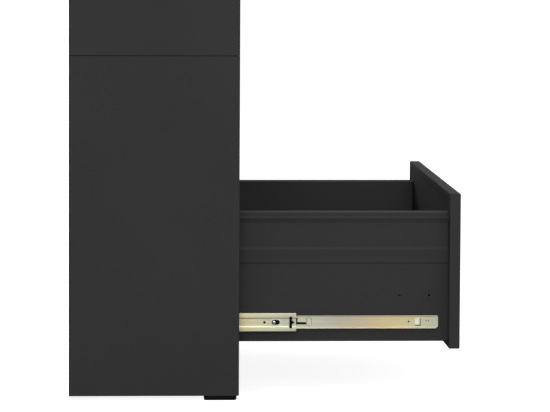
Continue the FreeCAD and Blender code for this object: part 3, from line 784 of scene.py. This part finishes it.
through = (web_out - MM, wall_x + MM)
holes = [inner_plug(*through, HOLE_BACK, 0.6, 3.4, 3.4),
         inner_pad(*through, SLIT_BACK, -0.6, 11.0, 14.6, 1.2),
         inner_pad(*through, PAD_BACK, 0.4, 10.4, 15.8, 3.3)]
for shift in (-MARKS_APART, MARKS_APART):
    holes.append(inner_pad(*through, MARKS_BACK + shift, 2.0, 1.4, 3.2, 0.5))
drawer_member = punched(drawer_member, *holes)
soften(drawer_member, 0.15 * MM, 2)
print("drawer member", len(drawer_member.faces), "faces")
for_each_drawer(on_both_sides(drawer_member), "inner_rails", "drawer_{}", zinc)

# %% Tongue pressed out of the web, and the pad of the lever
#
# The tongue's lower part stands out more, so it looks up into the light.
TONGUE_LEAN = 0.10
TONGUE_BACK = 40.6
TONGUE_HALF = 0.4 * MM
tongue = inner_pad(web_out - TONGUE_HALF, web_out + TONGUE_HALF, TONGUE_BACK, 0.6, 10.0, 13.2, 1.0)
tongue_top = axis_z + 7.2 * MM
for v in tongue.verts:
    if v.co.x < web_out:
        v.co.x -= TONGUE_LEAN * (tongue_top - v.co.z)
lever_pad = inner_pad(web_out - 0.6 * MM, wall_x - 0.2 * MM, PAD_BACK, 0.4, 9.4, 14.8, 3.0)
soften(lever_pad, 0.4 * MM)
soften(tongue, 0.3 * MM)
pressed = joined(tongue, lever_pad)
print("tongue and pad", len(pressed.faces), "faces")
# The paler zinc on the tongue and the pad is a painted highlight.
for_each_drawer(on_both_sides(pressed), "inner_rails", "drawer_{}", painted_highlight_zinc,
                "_tongues")

# %% Release lever: a black arm, a cross bar and a hub
LEVER_THICK = 1.5 * MM
ARM_BACK = 276.7
BAR_BACK = 276.0
HUB_BACK = 288.0
lever_x0 = web_out - LEVER_THICK
lever_arm = inner_pad(lever_x0, web_out, ARM_BACK, -2.6, 38.6, 4.2, 1.8)
lever_bar = inner_pad(lever_x0, web_out, BAR_BACK, 1.5, 2.4, 12.0, 0.8)
lever_hub = inner_plug(lever_x0, web_out, HUB_BACK, 0.0, 12.0, 12.0)
lever = joined(lever_arm, lever_bar, lever_hub)
soften(lever, 0.3 * MM)
print("release lever", len(lever.faces), "faces")
for_each_drawer(on_both_sides(lever), "release_levers", "drawer_{}", plastic)

# %% [markdown]
# ### Middle member
#
# The middle channel turns its back outwards. Its web is pressed in along the middle, between two
# raised shoulders. It carries an oval with a raised lip and a rivet, a small hole, and at its front end
# the black stop that cushions the drawer. Behind the oval and the hole lies a thin black sheet, which
# is painted shade for the hollow of the slide.

# %% Middle member
MIDDLE_HALF = 17.9 * MM
WEB_HALF = 7.4 * MM
RECESS = 1.4 * MM
MIDDLE_FOLDS = (1.6, 0.9, 0.9, 0.9, 0.9, 1.6)
MIDDLE_GAP = 0.9 * MM
OVAL_BACK = 39.7
SMALL_HOLE_BACK = 61.6
STOP_BACK = 10.4
middle_front = middle_low.y
web_x = middle_low.x
middle_tip = wall_x - MIDDLE_GAP
middle_points = ((middle_tip, axis_z - MIDDLE_HALF), (web_x, axis_z - MIDDLE_HALF),
                 (web_x, axis_z - WEB_HALF - RECESS), (web_x + RECESS, axis_z - WEB_HALF),
                 (web_x + RECESS, axis_z + WEB_HALF), (web_x, axis_z + WEB_HALF + RECESS),
                 (web_x, axis_z + MIDDLE_HALF), (middle_tip, axis_z + MIDDLE_HALF))
middle_member = folded_channel(middle_points, middle_front, middle_high.y,
                               [radius * MM for radius in MIDDLE_FOLDS])
face_x = web_x + RECESS
back_x = face_x + SLIDE_SHEET


def middle_plug(x0, x1, back, length, tall):
    """A plug in the middle member's web: how far back, and its size, in millimetres."""
    return plug(x0, x1, middle_front + back * MM, axis_z, length * MM, tall * MM)


def middle_pad(x0, x1, back, wide, tall, corner):
    """A pad on the middle member's web: how far back, and its size, in millimetres."""
    return pad(x0, x1, middle_front + back * MM, axis_z, wide * MM, tall * MM, corner * MM)


through = (face_x - MM, back_x + MM)
oval = middle_plug(*through, OVAL_BACK, 15.6, 9.6)
small_hole = middle_plug(*through, SMALL_HOLE_BACK, 5.2, 5.2)
stop_slot = middle_pad(*through, STOP_BACK, 4.0, 20.0, 0.8)
middle_member = punched(middle_member, oval, small_hole, stop_slot)
soften(middle_member, 0.15 * MM, 2)
print("middle member", len(middle_member.faces), "faces")
for_each_drawer(on_both_sides(middle_member), "middle_rails", "middle_rails_{}",
                middle_zinc)

# %% Raised lip round the oval
OVAL_LIP_OUT = 0.9 * MM
lip = punched(middle_plug(face_x - OVAL_LIP_OUT, face_x, OVAL_BACK, 23.0, 14.4),
              middle_plug(face_x - 2 * MM, face_x + MM, OVAL_BACK, 16.0, 10.0))
soften(lip, 0.35 * MM)
print("lip", len(lip.faces), "faces")
# The paler zinc on the lip is a painted highlight.
for_each_drawer(on_both_sides(lip), "middle_rails", "middle_rails_{}", painted_highlight_zinc,
                "_lips")

# %% Black sheet behind the oval and the hole, as painted shade, and the rivet on it
#
# The black sheet is painted shade, dark as the hollow behind the holes is in shade. It is thin,
# because the cage's web runs close behind the middle member's.
PAINTED_SHADE_SHEET_THICK = 0.2 * MM
PAINTED_SHADE_SHEET_BACK = 47.0
RIVET_RADIUS = 3.0 * MM
RIVET_FLATTENED = 0.28
RIVET_BACK = 42.6
RIVET_IN = 0.55 * MM
# A thin black sheet that darkens what shows through the holes: painted shade.
painted_shade_sheet = middle_pad(back_x, back_x + PAINTED_SHADE_SHEET_THICK, PAINTED_SHADE_SHEET_BACK, 42.0, 13.6, 3.0)
for_each_drawer(on_both_sides(painted_shade_sheet), "middle_rails", "middle_rails_{}", plastic,
                "_painted_shade_sheets")
rivet = bmesh.new()
bmesh.ops.create_uvsphere(rivet, u_segments=20, v_segments=10, radius=RIVET_RADIUS)
bmesh.ops.scale(rivet, verts=rivet.verts, vec=(RIVET_FLATTENED, 1.0, 1.0))
rivet_place = (face_x + RIVET_IN, middle_front + RIVET_BACK * MM, axis_z)
bmesh.ops.translate(rivet, verts=rivet.verts, vec=rivet_place)
for_each_drawer(on_both_sides(rivet), "middle_rails", "middle_rails_{}", steel,
                "_rivets")
print("rivet", round(2 * RIVET_RADIUS / MM, 1), "mm across")

# %% The black stop
#
# A plate lies on the web, a block fills its slot, and a three-sided nose points forward.
PLATE_THICK = 0.6 * MM
NOSE_RADIUS = 5.2 * MM
NOSE_THICK = 1.9 * MM
NOSE_OUT = 0.95 * MM
NOSE_BACK = 7.4
stop_plate = middle_pad(web_x - PLATE_THICK, web_x, STOP_BACK, 5.2, 23.0, 1.6)
stop_block = middle_pad(web_x, back_x, STOP_BACK, 3.8, 14.4, 1.0)
nose = bmesh.new()
bmesh.ops.create_cone(nose, cap_ends=True, segments=3, radius1=NOSE_RADIUS, radius2=NOSE_RADIUS,
                      depth=NOSE_THICK)
bmesh.ops.rotate(nose, verts=nose.verts, matrix=Matrix.Rotation(math.pi / 2, 3, "Y"))
bmesh.ops.rotate(nose, verts=nose.verts, matrix=Matrix.Rotation(math.pi, 3, "X"))
nose_place = (face_x - NOSE_OUT, middle_front + NOSE_BACK * MM, axis_z)
bmesh.ops.translate(nose, verts=nose.verts, vec=nose_place)
stop = joined(stop_plate, stop_block, nose)
soften(stop, 0.3 * MM)
print("stop", len(stop.faces), "faces")
for_each_drawer(on_both_sides(stop), "middle_rails", "middle_rails_{}", plastic,
                "_stops")

# %% [markdown]
# ### Cabinet member, cages and balls
#
# The largest channel is fixed to the uprights. Two rows of balls run in each gap, held by a thin
# cage. The balls are small icospheres, because there are hundreds of them.

# %% Cabinet member
OUTER_HALF = 22.75 * MM
OUTER_LIP = 3.2 * MM
OUTER_FOLDS = (1.6, 3.0, 3.0, 1.6)
OUTER_HOLES = (38.0, 166.0, 262.0, 358.0)
OUTER_GAP = 2.5 * MM
outer_low, outer_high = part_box("outer_rails")
outer_tip = wall_x - OUTER_GAP
outer_points = ((outer_tip, axis_z - OUTER_HALF + OUTER_LIP), (outer_tip, axis_z - OUTER_HALF),
                (outer_low.x, axis_z - OUTER_HALF), (outer_low.x, axis_z + OUTER_HALF),
                (outer_tip, axis_z + OUTER_HALF), (outer_tip, axis_z + OUTER_HALF - OUTER_LIP))
outer_web = outer_low.x + SLIDE_SHEET
outer_member = folded_channel(outer_points, outer_low.y, outer_high.y,
                              [radius * MM for radius in OUTER_FOLDS])
holes = [plug(outer_low.x - MM, outer_web + MM, outer_low.y + back * MM, axis_z, 9.0 * MM, 5.0 * MM)
         for back in OUTER_HOLES]
outer_member = punched(outer_member, *holes)
soften(outer_member, 0.15 * MM, 2)
outer_member = on_both_sides(outer_member)
outer_rows = []
for n in DRAWERS:
    level = outer_member.copy()
    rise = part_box(f"drawer_{n}_inner_rails")[0].z - inner_low.z
    bmesh.ops.translate(level, verts=level.verts, vec=(0.0, 0.0, rise))
    outer_rows.append(level)
outer_member.free()
print("cabinet members:", 2 * len(outer_rows))
make_piece("outer_rails_dressed", joined(*outer_rows), "cabinet", zinc,
           ["outer_rails"])

# %% Cages with their balls
CAGE_SHEET = 0.5 * MM
CAGE_FOLD = 1.2 * MM
CAGE_LOWER = 0.4 * MM
TIP_SHORTER = 0.5 * MM
WINDOW_ENDS = 14 * MM
WINDOW_SIDES = 13 * MM
WINDOW_CORNER = 3.0 * MM
BALL_CLEARANCE = 0.1 * MM
BALL_PITCH = 11.5 * MM


def cage_with_balls(part, body, radius):
    """Two rows of balls between a cage's web and its tips, and the cage with a window in its web."""
    low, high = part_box(f"drawer_1_{part}")
    side = [v.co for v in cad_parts[f"drawer_1_{part}"].data.vertices if v.co.x < 0]
    web = min(c.x for c in side)
    tip = max(c.x for c in side)
    half = (high.z - low.z) / 2
    row = half - radius - BALL_CLEARANCE
    balls = bmesh.new()
    count = int((high.y - low.y - 2 * radius) / BALL_PITCH) + 1
    start = (low.y + high.y) / 2 - (count - 1) * BALL_PITCH / 2
    for up in (-1, 1):
        for i in range(count):
            place = Matrix.Translation(((web + tip) / 2, start + i * BALL_PITCH, axis_z + up * row))
            bmesh.ops.create_icosphere(balls, subdivisions=2, radius=radius, matrix=place)
    for_each_drawer(on_both_sides(balls), part, body, steel, "_balls")
    bottom = axis_z - half + CAGE_LOWER
    top = axis_z + half - CAGE_LOWER
    points = ((tip - TIP_SHORTER, bottom), (web, bottom), (web, top), (tip - TIP_SHORTER, top))
    cage = folded_channel(points, low.y, high.y, (CAGE_FOLD, CAGE_FOLD), sheet=CAGE_SHEET)
    window = pad(web - MM, web + MM, (low.y + high.y) / 2, axis_z, high.y - low.y - WINDOW_ENDS,
                 2 * half - WINDOW_SIDES, WINDOW_CORNER)
    cage = punched(cage, window)
    for_each_drawer(on_both_sides(cage), part, body, zinc)
    print(part, "web", round(web, 4), "tip", round(tip, 4))
    print(2 * count, "balls of", round(2 * radius / MM, 1), "mm a side")


cage_with_balls("outer_cages", "outer_cages_{}", radius=1.7 * MM)
cage_with_balls("inner_cages", "inner_cages_{}", radius=1.9 * MM)

# %% [markdown]
# ## Screws of the back
#
# The back panels hang inside the rear flanges of the sides and are screwed to them. A pan head is a
# short cone with a rounded rim and a cross cut into it.

# %% Screws of the back
SCREW_HEAD = 3.7 * MM
SCREW_NARROWED = 0.72
SCREW_PROUD = 1.9 * MM
SLOT_LONG = 4.2 * MM
SLOT_WIDE = 0.9 * MM
SLOT_DEEP = 1.6 * MM
SCREW_OUT = 0.438
SCREW_HEIGHTS = (0.045, 0.240, 0.435, 0.630, 0.705, 0.900, 1.095, 1.290)
head = bmesh.new()
bmesh.ops.create_cone(head, cap_ends=True, segments=24, radius1=SCREW_HEAD,
                      radius2=SCREW_NARROWED * SCREW_HEAD, depth=SCREW_PROUD)
soften(head, 0.35 * MM)
slots = []
for wide, tall in ((SLOT_LONG, SLOT_WIDE), (SLOT_WIDE, SLOT_LONG)):
    slot = bmesh.new()
    bmesh.ops.create_cube(slot, size=1.0, matrix=Matrix.Diagonal((wide, tall, SLOT_DEEP, 1.0)))
    bmesh.ops.translate(slot, verts=slot.verts, vec=(0.0, 0.0, SCREW_PROUD / 2))
    slots.append(slot)
head = punched(punched(head, slots[0]), slots[1])
bmesh.ops.rotate(head, verts=head.verts, matrix=Matrix.Rotation(-math.pi / 2, 3, "X"))
back_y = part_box("side_lower_left")[1].y
heads = []
for side in (-1, 1):
    for z in SCREW_HEIGHTS:
        copy = head.copy()
        place = (side * SCREW_OUT, back_y + SCREW_PROUD / 2, z)
        bmesh.ops.translate(copy, verts=copy.verts, vec=place)
        heads.append(copy)
head.free()
print("screws:", len(heads))
make_piece("back_screws", joined(*heads), "cabinet", steel)

# %% [markdown]
# ## The picture's white margin
#
# The photograph is laid out with the cabinet cut off by a straight white margin on its left, though
# the drawer shows that the cabinet goes on behind it. A white card right before the lens makes the
# same margin. It is smaller than a grain of rice, so no other view shows it, and it casts no shadow.

# %% Card before the lens
CARD_DISTANCE = 12 * MM
MARGIN_EDGE = 68.45
PICTURE_HEIGHT = 412
PIXELS_OVER = 4
per_pixel = CARD_DISTANCE / LENS_PIXELS
card_left = -(PICTURE_WIDTH / 2 + PIXELS_OVER) * per_pixel
card_right = (MARGIN_EDGE - PICTURE_WIDTH / 2) * per_pixel
card_tall = (PICTURE_HEIGHT / 2 + PIXELS_OVER) * per_pixel
card_shape = bmesh.new()
card_corners = ((card_left, -card_tall), (card_right, -card_tall),
                (card_right, card_tall), (card_left, card_tall))
card_shape.faces.new([card_shape.verts.new((x, y, -CARD_DISTANCE)) for x, y in card_corners])
bmesh.ops.transform(card_shape, matrix=camera.matrix_world, verts=card_shape.verts)
card_mesh = bpy.data.meshes.new("margin_card")
card_shape.to_mesh(card_mesh)
card_shape.free()
card = bpy.data.objects.new("margin_card", card_mesh)
card.visible_shadow = False
card.visible_diffuse = False
card.visible_glossy = False
bpy.context.scene.collection.objects.link(card)

card_white = bpy.data.materials.new("card_white")
card_white.use_nodes = True
card_shader = card_white.node_tree.nodes["Principled BSDF"]
card_shader.inputs["Emission Color"].default_value = (1.0, 1.0, 1.0, 1.0)
card_shader.inputs["Emission Strength"].default_value = 1.0
card.data.materials.append(card_white)
print("card", round((card_right - card_left) / MM, 2), "by", round(2 * card_tall / MM, 2), "mm")

# %% Floor finish: plain and nearly white
FLOOR_TONE = 0.46
FLOOR_GLOW = 0.90
FLOOR_ROUGHNESS = 0.9
FLOOR_SHINE = 0.1
floor_white = bpy.data.materials.new("floor_white")
floor_white.use_nodes = True
floor_shader = floor_white.node_tree.nodes["Principled BSDF"]
floor_shader.inputs["Base Color"].default_value = (FLOOR_TONE, FLOOR_TONE, FLOOR_TONE, 1.0)
floor_shader.inputs["Emission Color"].default_value = (1.0, 1.0, 1.0, 1.0)
to_camera = add(floor_white.node_tree, "ShaderNodeLightPath")
glow = add(floor_white.node_tree, "ShaderNodeMath", operation="MULTIPLY")
glow.inputs[1].default_value = FLOOR_GLOW
floor_white.node_tree.links.new(to_camera.outputs["Is Camera Ray"], glow.inputs[0])
floor_white.node_tree.links.new(glow.outputs[0], floor_shader.inputs["Emission Strength"])
floor_shader.inputs["Roughness"].default_value = FLOOR_ROUGHNESS
floor_shader.inputs["Specular IOR Level"].default_value = FLOOR_SHINE
studio_floor.data.materials.append(floor_white)
print("floor tone", FLOOR_TONE, "glow", FLOOR_GLOW)

# %% [markdown]
# ## End

# %% Finish
bpy.context.view_layer.update()
